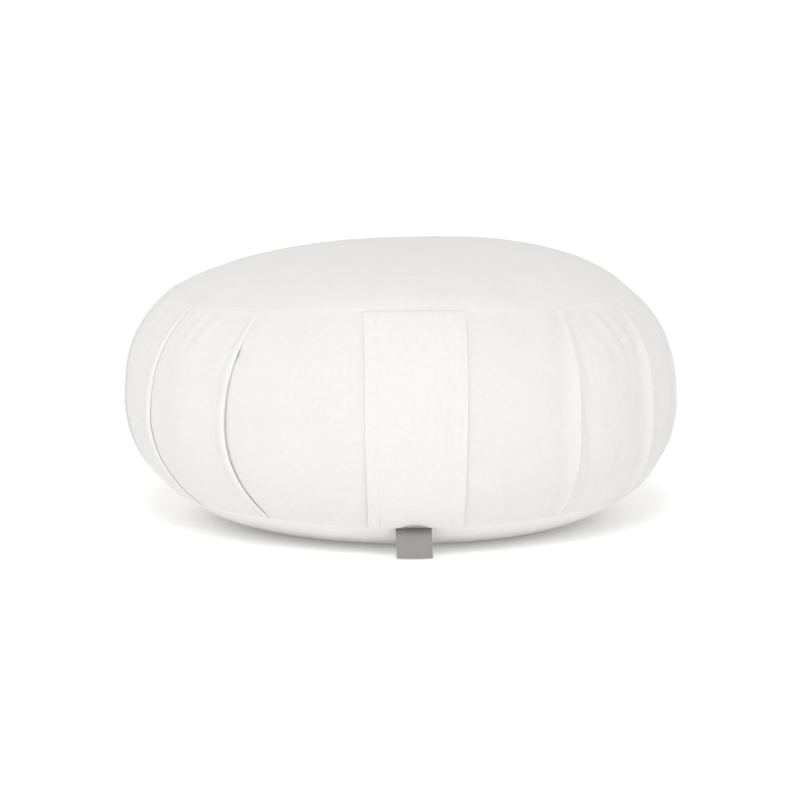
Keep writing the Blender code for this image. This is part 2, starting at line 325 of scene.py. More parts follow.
# How far the blown cover stands out from its rows, and the distances of the rows down from the top seam
def blownCover():
    stations, topRow, baseRow = coverProfile()
    arc = arcLengths(stations) - arcLengths(stations)[topRow]
    count = round(math.tau * relief["metreRadius"] / cover["step"])
    azimuths = evenAzimuths(count)
    out = outwardOf(stations)
    places = atAzimuth(stations[:, :1], azimuths, stations[:, 1:])
    outward = atAzimuth(out[:, :1], azimuths, out[:, 1:])
    rough = np.random.default_rng(cover["seed"]).normal(0, cover["roughStart"], places.shape[:2])
    noPattern = np.zeros((len(stations), count + 1, 2))
    mesh = gridMesh("trial cover", places + outward * rough[..., None], noPattern, 0, wrapped=True)
    trial = addObject(mesh.name, mesh)
    held = trial.vertex_groups.new(name="held")
    for row in (0, topRow, baseRow, len(stations) - 1):
        weighRow(held, row, count, 1)
    cloth = trial.modifiers.new("cloth", "CLOTH")
    assign(cloth.settings, vertex_group_mass=held.name, **coverSettings)
    cloth.settings.effector_weights.gravity = 0
    cloth.collision_settings.use_collision = False
    for frameNumber in range(1, cover["frames"] + 1):
        bpy.context.scene.frame_set(frameNumber)
    graph = bpy.context.evaluated_depsgraph_get()
    blown = np.empty(places.size, np.float32)
    trial.evaluated_get(graph).data.vertices.foreach_get("co", blown)
    bpy.data.objects.remove(trial)
    bpy.context.scene.frame_set(1)
    rise = ((blown.reshape(places.shape) - places) * outward).sum(axis=2)
    rise -= rise.mean(axis=1, keepdims=True)
    rise *= smoothStep((np.arange(len(stations)) - 1) / cover["fadeRows"])[:, None]
    return rise, arc


# Puckers of the blown cover at distances down from the top seam and at azimuths, smoothed between points
def puckersOfCover(down, azimuth):
    rise, arc = coverPuckers
    row = np.interp(down, arc, np.arange(len(arc)))
    column = azimuth / math.tau * rise.shape[1]
    total = 0
    for rowStep, rowWeight in enumerate(splineWeights(row % 1)):
        for columnStep, columnWeight in enumerate(splineWeights(column % 1)):
            rows = np.clip(np.floor(row).astype(int) + rowStep - 1, 0, rise.shape[0] - 1)
            columns = (np.floor(column).astype(int) + columnStep - 1) % rise.shape[1]
            total = total + rise[rows, columns] * rowWeight * columnWeight
    turned = np.degrees(np.abs(signedTurn(azimuth)))
    calm = smoothStep((turned - cover["calmFrom"]) / cover["calmOver"])
    taken = cover["taken"] * (cover["calm"] + (1 - cover["calm"]) * calm)
    return cover["most"] * np.tanh(total * taken / cover["most"])


def splineWeights(part):
    rest = 1 - part
    return (
        rest**3 / 6,
        (3 * part**3 - 6 * part**2 + 4) / 6,
        (3 * rest**3 - 6 * rest**2 + 4) / 6,
        part**3 / 6,
    )


# Meshes


def assign(target, **settings):
    for name, value in settings.items():
        setattr(target, name, value)


def addObject(name, data):
    made = bpy.data.objects.new(name, data)
    bpy.context.scene.collection.objects.link(made)
    return made


def addPiece(mesh, material):
    mesh.materials.append(material)
    mesh.polygons.foreach_set("use_smooth", [True] * len(mesh.polygons))
    piece = addObject(mesh.name, mesh)
    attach(piece, "root")
    return piece


def weighRow(group, row, count, weight):
    group.add(list(range(row * count, (row + 1) * count)), weight, "REPLACE")


def cornersOfCells(grid):
    return np.stack([grid[:-1, :-1], grid[1:, :-1], grid[1:, 1:], grid[:-1, 1:]], axis=2)


# A mesh over rows and columns of points, with a UV map in metres of cloth and the painted shading of each
# point: painted shade above 0, wear and painted highlight below 0
def gridMesh(name, points, cloth, paintedShading, wrapped=False):
    size = points.shape[:2]
    index = np.arange(size[0] * size[1]).reshape(size)
    if wrapped:
        index = np.concatenate([index, index[:, :1]], axis=1)
    mesh = bpy.data.meshes.new(name)
    mesh.from_pydata(points.reshape(-1, 3).tolist(), [], cornersOfCells(index).reshape(-1, 4).tolist())
    pattern = cornersOfCells(cloth).ravel().astype(np.float32)
    mesh.uv_layers.new(name="cloth").data.foreach_set("uv", pattern)
    hidden = np.broadcast_to(paintedShading, size).ravel().astype(np.float32)
    mesh.attributes.new("paintedShading", "FLOAT", "POINT").data.foreach_set("value", hidden)
    return mesh


weldWithin = 1e-6


# Makes one point of those that a grid's row lays on the axis. The shading doesn't turn round an open rim.
def closePoles(mesh):
    work = bmesh.new()
    work.from_mesh(mesh)
    bmesh.ops.remove_doubles(work, verts=work.verts, dist=weldWithin)
    for edge in work.edges:
        edge.smooth = not edge.is_boundary
    work.to_mesh(mesh)
    work.free()


def addCloth(piece, thickness, offset):
    sheet = piece.modifiers.new("cloth thickness", "SOLIDIFY")
    assign(sheet, thickness=thickness, offset=offset, use_even_offset=True)
    return sheet


tagDent = {"azimuth": math.radians(-0.4), "width": 0.0090, "depth": 0.0036, "above": 0.0060, "below": 0.0120}


# The hollow where the tag's stitching draws the lower seam in; reach is how fast it ends above or below
def dent(azimuth, fromSeam, reach):
    across = (azimuth - tagDent["azimuth"]) * baseSeamRadius / tagDent["width"]
    return tagDent["depth"] * np.exp(-(across**2) - fromSeam / reach)


roundedFrom = math.radians(60)


def roundEdges(piece, width, segments):
    edge = piece.modifiers.new("rounded edges", "BEVEL")
    assign(edge, width=width, segments=segments, limit_method="ANGLE", angle_limit=roundedFrom)


# A round sheet over a profile that runs from the axis to the seam at its rim. seamAt is that seam's
# distance down from the top seam, and towards is -1 for a sheet above its seam and 1 for one below.
def turnedSheet(stations, azimuths, seamAt, towards):
    arc = arcLengths(stations)
    toSeam = (arc[-1] - arc)[:, None]
    radius, height = stations[:, :1], stations[:, 1:]
    rise = seamRelief(toSeam) + clothRelief(atAzimuth(radius, azimuths, height), toSeam)
    rise = rise + puckersOfCover(seamAt + towards * toSeam, azimuths)
    turn = signedTurn(azimuths)
    if towards < 0:
        overStrap = 1 - smoothStep(np.degrees(np.abs(turn)) / relief["rollOver"])
        away = toSeam / relief["rollAt"]
        rise = rise + relief["rollRise"] * overStrap * away * np.exp(1 - away)
    else:
        rise = rise - dent(turn, toSeam, tagDent["below"])
        rise = rise * np.clip(height / relief["floorFlat"], 0, 1)
    points = settled(offProfile(stations, azimuths, -towards * rise))
    turns = np.append(azimuths, azimuths[0] + math.copysign(math.tau, azimuths[1]))
    cloth = arc[:, None, None] * np.stack([np.sin(turns), -np.cos(turns)], axis=-1)
    return points, cloth, seamWearAndHighlight(toSeam)


# Shares from 0 to 1 that lie closer together at both ends
def cosineSpaced(count, evenness):
    even = np.linspace(0, 1, count + 1)
    return evenness * even + (1 - evenness) * (1 - np.cos(math.pi * even)) / 2


coverPuckers = blownCover()
print("trial cover:", coverPuckers[0].size, "points")


# Materials


# Links a socket, or sets a number or a vector, on a node's input
def feed(target, source):
    if isinstance(source, bpy.types.NodeSocket):
        target.id_data.links.new(source, target)
    else:
        target.default_value = source


# A node whose first inputs get the sources
def node(tree, kind, *sources, **settings):
    made = tree.nodes.new("ShaderNode" + kind)
    assign(made, **settings)
    for target, source in zip(made.inputs, sources):
        feed(target, source)
    return made


def calculate(tree, operation, *sources):
    return node(tree, "Math", *sources, operation=operation).outputs[0]


# Noise drawn out along one direction of the cloth; across and along are its sizes in metres
def threadNoise(tree, cloth, across, along, detail=2.0):
    place = node(tree, "Mapping", cloth)
    feed(place.inputs["Scale"], (1 / across, 1 / along, 1))
    grain = node(tree, "TexNoise", place.outputs[0])
    feed(grain.inputs["Scale"], 1.0)
    feed(grain.inputs["Detail"], detail)
    return grain.outputs["Fac"]


# Spreads -1 to 1 over 0 to 1, and 0 to 1 over a half to 1
def upperHalf(tree, value):
    return calculate(tree, "MULTIPLY_ADD", value, 0.5, 0.5)


# The height of warp and weft threads that pass over and under each other, from 0 to 1
def plainWeave(tree, cloth, pitch, sway):
    split = node(tree, "SeparateXYZ", cloth)
    waves, sides = [], []
    for axis, size in ((0, weaving["swaySize"]), (1, weaving["swaySize"][::-1])):
        swayed = calculate(tree, "MULTIPLY_ADD", threadNoise(tree, cloth, *size), sway, split.outputs[axis])
        phase = calculate(tree, "MULTIPLY", swayed, math.pi / pitch)
        sine = calculate(tree, "SINE", phase)
        waves.append(calculate(tree, "ABSOLUTE", sine))
        sides.append(calculate(tree, "SIGN", sine))
    weft = calculate(tree, "MULTIPLY", waves[1], upperHalf(tree, waves[0]))
    warp = calculate(tree, "MULTIPLY", waves[0], upperHalf(tree, waves[1]))
    mix = node(tree, "Mix", upperHalf(tree, calculate(tree, "MULTIPLY", *sides)))
    feed(mix.inputs["A"], weft)
    feed(mix.inputs["B"], warp)
    return mix.outputs["Result"]


def colourMix(tree, factor, first, second):
    mix = node(tree, "Mix", factor, data_type="RGBA")
    for target, source in zip(mix.inputs[6:8], (first, second)):
        feed(target, (*source, 1) if isinstance(source, tuple) else source)
    return mix.outputs[2]


# A value spread from 0 at low to 1 at high
def eased(tree, value, low, high):
    return node(tree, "MapRange", value, low, high, interpolation_type="SMOOTHSTEP").outputs[0]


def bumped(tree, height, depth, strength, under):
    bump = node(tree, "Bump")
    feed(bump.inputs["Distance"], depth)
    feed(bump.inputs["Strength"], strength)
    feed(bump.inputs["Height"], height)
    if under:
        feed(bump.inputs["Normal"], under)
    return bump.outputs[0]


weaving = {
    "swaySize": (0.004, 0.03),
    "slubs": (0.60, 0.78),  # noise at which they begin and are full
    "flecks": (0.70, 0.80),
    "patches": (0.28, 0.72),
    "specks": (0.0011, 0.0011, 1.0),
    "napShare": 0.6,
    "sheenRoughness": 0.45,
}


def wovenMaterial(name, look):
    material = bpy.data.materials.new(name)
    material.use_nodes = True
    tree = material.node_tree
    shader = tree.nodes["Principled BSDF"]
    cloth = node(tree, "UVMap", uv_map="cloth").outputs[0]
    paintedShading = node(tree, "Attribute", attribute_name="paintedShading").outputs["Fac"]
    weave = plainWeave(tree, cloth, look["pitch"], look["sway"])
    thick = [threadNoise(tree, cloth, *size) for size in (look["slubSize"], look["slubSize"][::-1])]
    slubs = calculate(tree, "MAXIMUM", *(eased(tree, slub, *weaving["slubs"]) for slub in thick))
    mottle = threadNoise(tree, cloth, *look["mottle"])
    specks = threadNoise(tree, cloth, *weaving["specks"])
    nap = threadNoise(tree, cloth, *look["nap"])

    napPart = calculate(tree, "MULTIPLY", nap, weaving["napShare"])
    patches = calculate(tree, "MULTIPLY_ADD", mottle, 1 - weaving["napShare"], napPart)
    colour = colourMix(tree, eased(tree, patches, *weaving["patches"]), look["shade"], look["colour"])
    wearAndHighlight = calculate(tree, "MULTIPLY", paintedShading, -1.0)
    # Thread gaps, slubs and seed flecks are the cloth's own colour. The painted shading darkens fold pockets,
    # seams and hidden ends as painted shade, and below 0 lightens crests and seam edges as wear and painted
    # highlight.
    for place, contrast, tint in (
        (calculate(tree, "SUBTRACT", 1.0, weave), "threadContrast", "gapAndPaintedShade"),
        (slubs, "slubContrast", "slub"),
        (eased(tree, specks, *weaving["flecks"]), "fleckContrast", "fleck"),
        (calculate(tree, "MAXIMUM", paintedShading, 0.0), "paintedShadeContrast", "gapAndPaintedShade"),
        (calculate(tree, "MAXIMUM", wearAndHighlight, 0.0), "wearAndHighlightContrast", "wornAndHighlit"),
    ):
        colour = colourMix(tree, calculate(tree, "MULTIPLY", place, look[contrast]), colour, look[tint])
    feed(shader.inputs["Base Color"], colour)

    feed(shader.inputs["Roughness"], calculate(tree, "MULTIPLY_ADD", mottle, *look["roughness"]))
    normal = None
    for height, kind in ((mottle, "mottleBump"), (slubs, "slubBump"), (weave, "weaveBump")):
        normal = bumped(tree, height, *look[kind], normal)
    feed(shader.inputs["Normal"], normal)
    feed(shader.inputs["Specular IOR Level"], look["specular"])
    feed(shader.inputs["Sheen Weight"], look["sheen"])
    feed(shader.inputs["Sheen Roughness"], weaving["sheenRoughness"])
    return material


naturalCotton = {
    "colour": (0.832, 0.825, 0.808),
    "shade": (0.796, 0.788, 0.770),
    # colour of the thread gaps, and of painted shade in fold pockets and at seams
    "gapAndPaintedShade": (0.62, 0.60, 0.56),
    "slub": (0.875, 0.868, 0.850),
    # paler wear and painted highlight on fold crests and seam edges
    "wornAndHighlit": (0.905, 0.900, 0.888),
    "wearAndHighlightContrast": 0.32,
    "fleck": (0.62, 0.56, 0.46),  # specks of seed husk
    "pitch": 0.00062,  # from one thread to the next
    "sway": 0.00060,
    "slubSize": (0.0009, 0.016),
    "mottle": (0.028, 0.028, 4.0),  # size both ways and detail
    "nap": (0.0038, 0.0038, 6.0),
    "threadContrast": 0.22,
    "slubContrast": 0.35,
    "fleckContrast": 0.30,
    "paintedShadeContrast": 0.25,
    "roughness": (0.10, 0.86),  # spread and least
    "mottleBump": (0.0004, 0.6),  # depth and strength
    "slubBump": (0.00009, 0.7),
    "weaveBump": (0.00012, 0.55),
    "specular": 0.25,
    "sheen": 0.12,
}
strapCotton = naturalCotton | {
    "colour": (0.845, 0.838, 0.822),
    "shade": (0.815, 0.807, 0.790),
    "pitch": 0.00070,
}
# The base panel is the same cotton painted lighter and warmer, as painted bounce light on a panel that faces
# down into shade
baseCottonPaintedLighter = naturalCotton | {"colour": (0.893, 0.875, 0.857), "shade": (0.871, 0.853, 0.835)}
greyTape = {
    "colour": (0.385, 0.380, 0.375),
    "shade": (0.347, 0.342, 0.337),
    # colour of its thread gaps, and of painted shade under the seam
    "gapAndPaintedShade": (0.120, 0.118, 0.116),
    "slub": (0.400, 0.398, 0.394),
    "wornAndHighlit": (0.430, 0.428, 0.424),
    "wearAndHighlightContrast": 0.5,
    "fleck": (0.460, 0.460, 0.455),
    "pitch": 0.00042,
    "sway": 0.00015,
    "slubSize": (0.0005, 0.010),
    "mottle": (0.009, 0.009, 4.0),
    "nap": (0.0020, 0.0020, 6.0),
    "threadContrast": 0.45,
    "slubContrast": 0.35,
    "fleckContrast": 0.15,
    "paintedShadeContrast": 0.85,
    "roughness": (0.12, 0.72),
    "mottleBump": (0.0001, 0.6),
    "slubBump": (0.00003, 0.7),
    "weaveBump": (0.00010, 0.60),
    "specular": 0.35,
    "sheen": 0.10,
}
sewingThread = strapCotton | {"colour": (0.885, 0.878, 0.862), "pitch": 0.00025, "fleckContrast": 0.0}

bandCloth = wovenMaterial("band cotton", naturalCotton)
topCloth = wovenMaterial("top cotton", naturalCotton)
baseClothPaintedLighter = wovenMaterial("base cotton painted lighter", baseCottonPaintedLighter)
strapCloth = wovenMaterial("strap cotton", strapCotton)
tapeCloth = wovenMaterial("grey tape", greyTape)
threadCloth = wovenMaterial("white thread", sewingThread)
print("materials made")


# Side band: knife pleats

band = {
    "rows": 84,
    "evenness": 0.30,  # of the rows, which crowd towards the seams
    "coarseStep": 0.0016,  # between points round a fold
    "fineStep": 0.00045,
    "fineWithin": 2.0,  # millimetres from the folded edge
    "plainStep": 0.0024,
    "seamDepth": 0.22,  # share of a fold's height where the seams press it
    "seamWidth": 0.5,
    "depthPower": 0.8,  # the lower, the sooner a fold is full below a seam
    "mouthPower": 0.5,
    "fill": 0.85,
    "cap": (0.93, 0.75, 0.45, 0.0),  # shares of the seam's radius, over the filling under a panel
    "clearOfPanel": 0.0031,
    "clearOfCrown": 0.3,  # how much more of that towards the seam
    "readAt": 60,  # heights at which the underside is read
    "ledge": (0.0026, 0.0034),  # where the cloth turns in behind the top seam: inwards and down
    "foot": (0.0030, 0.0030),  # and behind the base seam: inwards and up
    "turnedIn": 0.01,  # cloth from one ring of the filling to the next
    "sharpest": math.radians(75),
    "opensOver": 0.30,  # share of the side over which a fold's mouth opens
}

# A fold's azimuth at the top seam in degrees, what is added to that at the base seam, how far its edge is
# drawn back and at which share most, its height, how open its mouth is, from which share on and how far in
# millimetres, and the swell of the cloth after it
foldKeys = ("azimuth", "lean", "bow", "bowAt", "depth", "open", "opensAt", "mouth", "puff")
foldRows = [
    (38.2, -2.0, 2.6, 0.38, 1.10, 1.0, 0.05, 0.10, 0.0014),
    (62.3, -1.2, 3.0, 0.42, 1.30, 1.0, 0.02, 0.15, 0.0016),
    (85.4, -0.7, 2.3, 0.50, 1.0, 0.80, 0.20, 0.50, 0.0012),
    (108.7, 0.4, 2.7, 0.55, 0.90, 0.40, 0.45, 0.30, 0.0017),
    (132.4, -0.6, 2.4, 0.48, 1.10, 1.0, 0.15, 0.40, 0.0013),
    (156.0, 0.5, 2.2, 0.52, 0.95, 0.30, 0.50, 0.30, 0.0015),
    (180.4, -0.4, 2.6, 0.45, 1.05, 1.0, 0.30, 0.45, 0.0012),
    (203.4, 0.6, 2.8, 0.55, 0.85, 0.50, 0.10, 0.35, 0.0016),
    (228.1, -0.5, 2.3, 0.50, 1.0, 0.90, 0.35, 0.35, 0.0014),
    (251.0, 0.7, 2.5, 0.57, 0.90, 0.40, 0.15, 0.30, 0.0016),
    (275.0, 0.4, 2.4, 0.50, 1.0, 0.10, 0.50, 0.0, 0.0013),
    (298.8, 0.8, 3.1, 0.62, 1.40, 0.35, 0.40, 0.0, 0.0015),
    (322.7, 1.0, 2.75, 0.56, 1.05, 1.0, 0.10, 0.55, 0.0006),
]
folds = [dict(zip(foldKeys, row)) for row in foldRows]

# The last fold's mouth stands open widest near its top and is thinner above half-way
gape = {
    "share": 0.190,
    "length": 0.028,
    "height": 1.05,
    "thinner": 0.55,
    "thinUntil": 0.55,
    "thinOver": 0.20,
}

# Section through a fold at mid-height in millimetres: along the band from the folded edge, out from the
# outline when the mouth is open and when it is shut, what share of the mouth's opening drops the point,
# and its painted shade inside the fold, or below 0 its wear and painted highlight on the crest
foldSection = [
    (-26.0, 0.0, 0.0, 0.0, 0.0),
    (-19.0, -0.25, -0.20, 0.0, 0.0),
    (-13.0, -0.50, -0.40, 0.0, 0.0),
    (-9.0, 0.0, 0.05, 0.0, 0.0),
    (-6.0, 1.0, 0.95, 0.0, -0.2),
    (-3.4, 2.05, 1.60, 0.0, -0.8),
    (-1.6, 2.45, 1.45, 0.0, -1.0),
    (-0.4, 1.95, 0.80, 0.0, -0.8),
    (0.0, 1.05, 0.42, 0.0, -0.3),
    (-0.5, 0.30, 0.22, 0.0, 0.4),
    (-3.0, 0.02, 0.0, 0.0, 1.0),
    (-6.5, -0.22, -0.30, 0.0, 1.0),
    (-9.2, -0.42, -0.50, 0.10, 1.0),
    (-9.9, -0.62, -0.62, 0.35, 1.0),
    (-9.2, -0.78, -0.75, 0.60, 1.0),
    (-6.5, -0.55, -0.50, 0.80, 1.0),
    (-3.0, -0.25, -0.10, 1.0, 1.0),
    (-0.3, 0.02, 0.16, 1.0, 0.2),
    (1.5, 0.05, 0.12, 0.95, 0.0),
    (5.0, -0.05, 0.0, 0.65, 0.0),
    (10.0, -0.08, -0.08, 0.25, 0.0),
    (15.0, 0.0, 0.0, 0.0, 0.0),
]


# A smooth curve through the points, cut into steps of about stepAt(point)
def throughPoints(points, stepAt):
    padded = np.concatenate([2 * points[:1] - points[1:2], points, 2 * points[-1:] - points[-2:-1]])
    made = []
    for before, start, end, after in zip(padded, padded[1:], padded[2:], padded[3:]):
        count = max(1, round(math.dist(start[:2], end[:2]) / stepAt((start + end) / 2)))
        part = (np.arange(count) / count)[:, None]
        inward, outward = (end - before) / 2, (after - start) / 2
        made.append(
            start * (2 * part**3 - 3 * part**2 + 1)
            + inward * (part**3 - 2 * part**2 + part)
            + end * (3 * part**2 - 2 * part**3)
            + outward * (part**3 - part**2)
        )
    return np.concatenate(made + [points[-1:]])


# A curve that rises from 0 at the top seam to 1 at the peak and falls to 0 at the base seam
def hump(share, peak):
    return np.sin(math.pi * np.clip(share, 0, 1) ** (math.log(0.5) / math.log(peak)))


# Heights at shares of the way down the side
def sideHeight(share):
    return topSeam + (baseSeam - topSeam) * share


def bandStations():
    share = cosineSpaced(band["rows"], band["evenness"])
    return outlineAt(sideHeight(share)), share


# The azimuth of a fold's edge in radians
def foldAzimuth(fold, share):
    turn = fold["azimuth"] + fold["lean"] * share - fold["bow"] * hump(share, fold["bowAt"])
    return np.radians(turn)


# Steps in millimetres, finer where the fold turns over
def sectionStep(spot):
    return 1000 * band["fineStep" if abs(spot[0]) < band["fineWithin"] else "coarseStep"]


# Azimuths and rises of the points round one fold, a column a point of its section, and the painted shade of
# each, below 0 its wear and painted highlight
def foldColumns(fold, share, radius):
    section = throughPoints(np.array(foldSection), sectionStep)
    along, out, outShut, drop = section[:, :4].T / 1000
    opening = np.sin(math.pi * share)
    width = band["seamWidth"] + (1 - band["seamWidth"]) * opening
    depth = fold["depth"] * (band["seamDepth"] + (1 - band["seamDepth"]) * opening ** band["depthPower"])
    opened = fold["open"] * smoothStep((share - fold["opensAt"]) / band["opensOver"])
    mouth = fold["mouth"] * opened * opening ** band["mouthPower"]
    if fold is folds[-1]:
        mouth *= 1 - gape["thinner"] * smoothStep((gape["thinUntil"] - share) / gape["thinOver"])
        mouth += gape["height"] * bell((share - gape["share"]) / gape["length"])
    azimuth = foldAzimuth(fold, share)[:, None] + along * (width / radius)[:, None]
    rise = (outShut + (out - outShut) * opened[:, None]) * depth[:, None] - drop * mouth[:, None]
    return azimuth, rise, np.broadcast_to(section[:, 4], rise.shape)


# The folds and the plain cloth between them, all round
def bandSurface():
    stations, share = bandStations()
    made = [foldColumns(fold, share, stations[:, 0]) for fold in folds]
    parts = []
    for order, fold in enumerate(made):
        following = made[(order + 1) % len(made)][0][:, :1]
        if order == len(made) - 1:
            following = following + math.tau
        last = fold[0][:, -1:]
        gap = float((following - last)[len(share) // 2, 0]) * cushion["radius"]
        count = round(gap / band["plainStep"])
        part = np.arange(1, count) / count
        swell = folds[order]["puff"] * np.sin(math.pi * part) * np.sin(math.pi * share)[:, None]
        parts += [fold, (last + (following - last) * part, swell, 0 * swell)]
    return stations, share, *(np.concatenate(columns, 1) for columns in zip(*parts))


strap = {
    "widths": (0.0617, 0.0615, 0.0578),  # at the top seam, half-way and at the base seam
    "leans": (0.0004, 0.0006, -0.0010),  # how far its middle lies towards +X
    "thickness": 0.0017,
    "endThickness": 0.45,
    "columns": 60,
    "rows": 110,
    "evenness": 0.5,
    "clear": 0.0002,
    "endGap": 0.0003,
    "hem": 0.0083,  # from the edge to its line of stitches
    "hemRise": 0.00035,
    "stitchSink": 0.00030,
    "leftLift": 0.0002,  # its edges stand a little off the band
    "rightLift": 0.0003,
    "flat": (0.0615, 0.164),
    "press": 0.0009,  # its left edge is pulled tighter than its right one and presses the band in
    "pressWidth": 0.0024,
    "pressFrom": 0.06,  # share of the side over which that sets in
    "acrossEvenness": 0.6,
    "hemEdge": 0.0004,
    "stitchAt": 0.0008,  # from the hem's edge
    "stitchReach": 0.0009,
    "edgeReach": 0.004,
    "endShade": 0.0014,
    "endThins": 0.004,
    "endFreedom": 2.5,
    "stitched": (0.035, 0.965),  # shares of the side between which the stitches run
    "rounding": (0.0006, 3),  # width and segments
}


# A smooth curve through values at shares 0, a half and 1
def threeFold(values, share):
    first, middle, last = values
    ends = first * (1 - share) * (1 - 2 * share) + last * share * (2 * share - 1)
    return ends + 4 * middle * share * (1 - share)


def strapPress(azimuth, share, radius):
    edge = threeFold(strap["leans"], share) - threeFold(strap["widths"], share) / 2
    beside = (azimuth * radius - edge[:, None]) / strap["pressWidth"]
    away = np.minimum(share, 1 - share)[:, None]
    return strap["press"] * smoothStep(away / strap["pressFrom"]) * bell(beside)


# Beside the first two folds and the last one the creases at the top seam are given one by one
foldAngles = [fold["azimuth"] for fold in folds]
bandCreases = creases + fanCreases(foldAngles[2:-1], share=0.01, towards=1, seed=4)
bandCreases += fanCreases(foldAngles, share=0.99, towards=-1, seed=9)


def toNearerEnd(arc):
    return np.minimum(arc, arc[-1] - arc)


# The rise of the cloth of the side at azimuths and shares, without its folds
def bandRelief(azimuth, share, stations):
    arc = arcLengths(stations)
    toSeam = toNearerEnd(arc)[:, None]
    points = atAzimuth(stations[:, :1], azimuth, stations[:, 1:])
    turn = signedTurn(azimuth)
    rise = seamRelief(toSeam) + clothRelief(points, toSeam) + creaseRelief(turn, share[:, None], bandCreases)
    rise = rise + puckersOfCover(arc[:, None], azimuth)
    rise = rise - dent(turn, (arc[-1] - arc)[:, None], tagDent["above"])
    return rise - strapPress(turn, share, stations[:, :1])


# The height of the filling over the base panel
def baseInside(radius):
    heights = np.linspace(0, baseSeam, band["readAt"])
    return float(np.interp(radius, outlineRadius(heights), heights)) + band["clearOfPanel"]


def makeBand():
    stations, share, azimuth, rise, inside = bandSurface()
    rise = rise + bandRelief(azimuth, share, stations)
    arc = arcLengths(stations)
    # Painted shade in the fold pockets and, below 0, wear and painted highlight on their crests and along the
    # seams
    paintedShading = inside + seamWearAndHighlight(toNearerEnd(arc))[:, None]
    (ledgeIn, ledgeDown), (footIn, footUp) = band["ledge"], band["foot"]
    upper = [atAzimuth(topSeamRadius - ledgeIn, azimuth[0], topSeam - ledgeDown)]
    lower = [atAzimuth(baseSeamRadius - footIn, azimuth[-1], baseSeam + footUp)]
    for part in band["cap"]:
        top = crownHeight(part * topSeamRadius) - band["clearOfPanel"] * (1 + band["clearOfCrown"] * part)
        upper.insert(0, atAzimuth(part * topSeamRadius, azimuth[0], top))
        lower.append(atAzimuth(part * baseSeamRadius, azimuth[-1], baseInside(part * baseSeamRadius)))
    points = np.concatenate([upper, offProfile(stations, azimuth, rise), lower])
    # The filling under the panels is hidden and gets full painted shade
    hiddenPaintedShade = np.ones((len(upper), azimuth.shape[1]))
    paintedShading = np.concatenate([hiddenPaintedShade, paintedShading, hiddenPaintedShade])
    half = len(share) // 2
    middle = atAzimuth(cushion["radius"] + rise[half], azimuth[half], 0)
    across = arcLengths(np.concatenate([middle, middle[:1]]))
    beyond = band["turnedIn"] * np.arange(1, len(upper) + 1)
    down = np.concatenate([arc[0] - beyond[::-1], arc, arc[-1] + beyond])
    cloth = np.stack(np.meshgrid(across, down), axis=-1)
    mesh = gridMesh("side_band_cloth", settled(points), cloth, paintedShading, wrapped=True)
    closePoles(mesh)
    piece = addPiece(mesh, bandCloth)
    mesh.set_sharp_from_angle(angle=band["sharpest"])
    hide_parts("side_band")
    return piece


bandPiece = makeBand()
print("side band laid in", len(folds), "pleats:", len(bandPiece.data.polygons), "faces")


# Top and base panels

topPanel = {"rows": 72, "columns": 480, "evenness": 0.55, "flat": 0.336}
basePanel = {"rows": 28, "columns": 420, "crowding": 1.6, "flatRings": 8, "flat": 0.312}


def panelPiece(name, sheet, material, standsFor):
    mesh = gridMesh(name, *sheet, wrapped=True)
    closePoles(mesh)
    piece = addPiece(mesh, material)
    addCloth(piece, cushion["cloth"], -1)
    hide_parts(standsFor)


def makeTopPanel():
    shares = cosineSpaced(2 * topPanel["rows"], topPanel["evenness"])[: topPanel["rows"] + 1] * 2
    radius = topSeamRadius * (1 - shares[::-1])
    stations = np.stack([radius, crownHeight(radius)], axis=1)
    sheet = turnedSheet(stations, evenAzimuths(topPanel["columns"]), 0.0, -1)
    panelPiece("top_panel_cloth", sheet, topCloth, "top_panel")


def makeBasePanel():
    floorRadius = float(outlineRadius(np.array(0.0)))
    side = outlineAt(baseSeam * np.linspace(0, 1, basePanel["rows"]) ** basePanel["crowding"])
    rings = floorRadius * np.arange(basePanel["flatRings"]) / basePanel["flatRings"]
    stations = np.concatenate([np.stack([rings, 0 * rings], axis=1), side])
    seamAt = arcLengths(bandStations()[0])[-1]
    sheet = turnedSheet(stations, -evenAzimuths(basePanel["columns"]), seamAt, 1)
    panelPiece("base_panel_cloth", sheet, baseClothPaintedLighter, "base_panel")


makeTopPanel()
makeBasePanel()
print("top and base panels made")


# Carrying strap


# Points of the strap's back, or above it; across is a row from -0.5 to 0.5 and share a column from 0 to 1
def onStrap(across, share, above=0.0):
    low, high = baseSeam + strap["endGap"], topSeam - strap["endGap"]
    stations = outlineAt(np.clip(sideHeight(share), low, high))
    width, middle = (threeFold(strap[name], share)[:, None] for name in ("widths", "leans"))
    azimuth = (across * width + middle) / stations[:, :1]
    rise = strapRelief(across, share, width) + bandRelief(azimuth, share, stations) + above
    return offProfile(stations, azimuth, rise), stations


def strapRelief(across, share, width):
    fromEdge = (0.5 - np.abs(across)) * width
    fromHem = fromEdge - strap["hem"]
    hem = strap["hemRise"] / (1 + np.exp(fromHem / strap["hemEdge"]))
    sink = strap["stitchSink"] * bell((fromHem + strap["stitchAt"]) / strap["stitchReach"])
    lift = np.where(across < 0, strap["leftLift"], strap["rightLift"])
    edge = lift * np.exp(-fromEdge / strap["edgeReach"])
    free = np.clip(np.sin(math.pi * share) * strap["endFreedom"], 0, 1)[:, None]
    return strap["clear"] + (hem - sink + edge) * free


